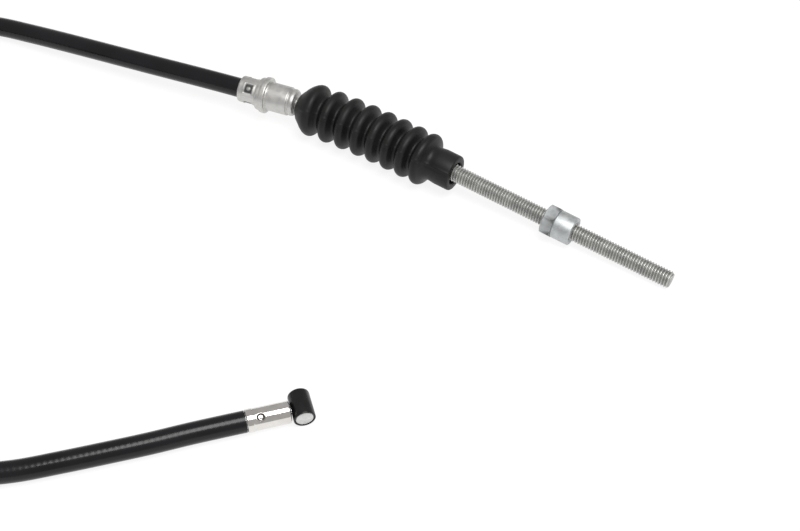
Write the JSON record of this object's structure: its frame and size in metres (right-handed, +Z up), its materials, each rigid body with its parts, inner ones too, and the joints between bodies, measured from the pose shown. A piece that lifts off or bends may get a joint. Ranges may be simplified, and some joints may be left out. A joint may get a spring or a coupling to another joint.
{
  "type": "rear brake cable",
  "caption": "Bowden cable for a rear drum brake: black casing, barrel nipple at the lever end, and a booted threaded rod with an adjusting nut at the brake end.",
  "frame": {"origin": "on the floor, under the middle of the box round the two end fittings", "axes": "+Z up from the floor; +X to the right, the way both ends point; +Y away from the viewer, from the lever end towards the brake end"},
  "size_m": [0.3346, 0.2078, 0.0194],
  "materials": {
    "sheath": "satin black",
    "spiral_steel": "drawn steel",
    "tie": "satin black",
    "zinc": "bright zinc plate",
    "thread_zinc": "dull zinc plate",
    "nut_zinc": "bluish zinc plate",
    "wire": "stranded steel",
    "nickel": "polished nickel plate",
    "rubber": "matt black",
    "barrel_metal": "dull cut metal",
    "barrel_black": "satin black"
  },
  "bodies": {
    "casing": {"casing_brake_run": "sheath", "conduit_brake_run": "spiral_steel", "casing_coil": "sheath", "casing_lever_run": "sheath", "conduit_lever_run": "spiral_steel", "coil_tie_1": "tie", "coil_tie_2": "tie", "brake_ferrule": "zinc", "rubber_boot": "rubber", "lever_ferrule": "nickel"},
    "brake_rod": {"threaded_rod": "thread_zinc", "inner_wire_brake_end": "wire"},
    "nut": {"adjuster_nut": "nut_zinc"},
    "nipple": {"barrel_nipple": "barrel_metal", "barrel_sleeve": "barrel_black", "inner_wire_lever_end": "wire"}
  },
  "joints": [
    {"name": "rod_pull", "type": "slide", "parent": "casing", "child": "brake_rod", "axis": [-0.8514, 0.5197, 0.0712], "range_m": [0, 0.025], "deforming": ["rubber_boot", "inner_wire_brake_end"]},
    {"name": "nipple_pull", "type": "slide", "parent": "casing", "child": "nipple", "axis": [0.965, 0.2622, 0], "range_m": [0, 0.025]},
    {"name": "nut_travel", "type": "slide", "parent": "brake_rod", "child": "nut", "axis": [0.8514, -0.5197, -0.0712], "range_m": [-0.031, 0.032]}
  ],
  "couplings": [
    {"joint": "nipple_pull", "follows": "rod_pull", "ratio": 1}
  ]
}
